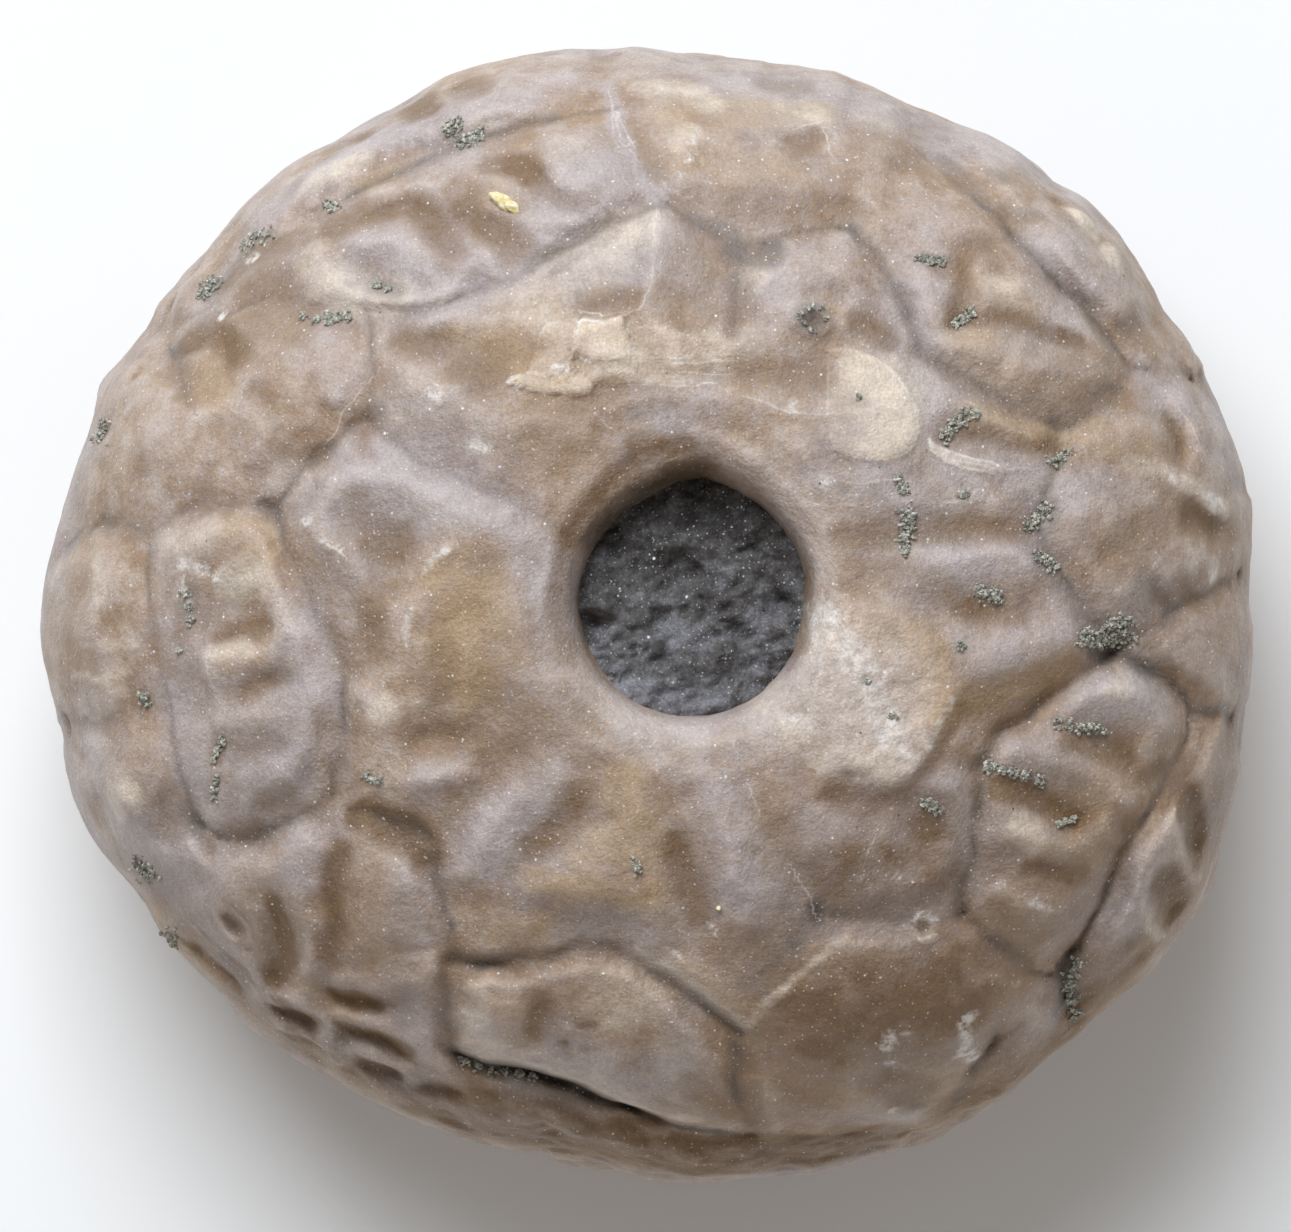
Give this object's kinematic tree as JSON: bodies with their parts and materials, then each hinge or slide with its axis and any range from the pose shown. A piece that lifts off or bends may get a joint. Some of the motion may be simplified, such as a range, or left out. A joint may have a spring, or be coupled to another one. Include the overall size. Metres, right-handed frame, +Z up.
{
  "type": "fossil crinoid calyx",
  "caption": "Round fossil sea lily cup of grey-lilac and tan calcite, lying mouth side down with its rock-filled stem pit on top",
  "frame": {"origin": "on the resting plane, under the middle of the outline's box", "axes": "+X along the longest width, +Y across it and up in a picture taken straight down, +Z up out of the stem pit"},
  "size_m": [0.032, 0.03, 0.0175],
  "materials": {
    "calcite": "matte",
    "shale": "matte"
  },
  "bodies": {
    "root": {"calyx": "calcite", "pit_matrix": "shale"}
  },
  "joints": []
}
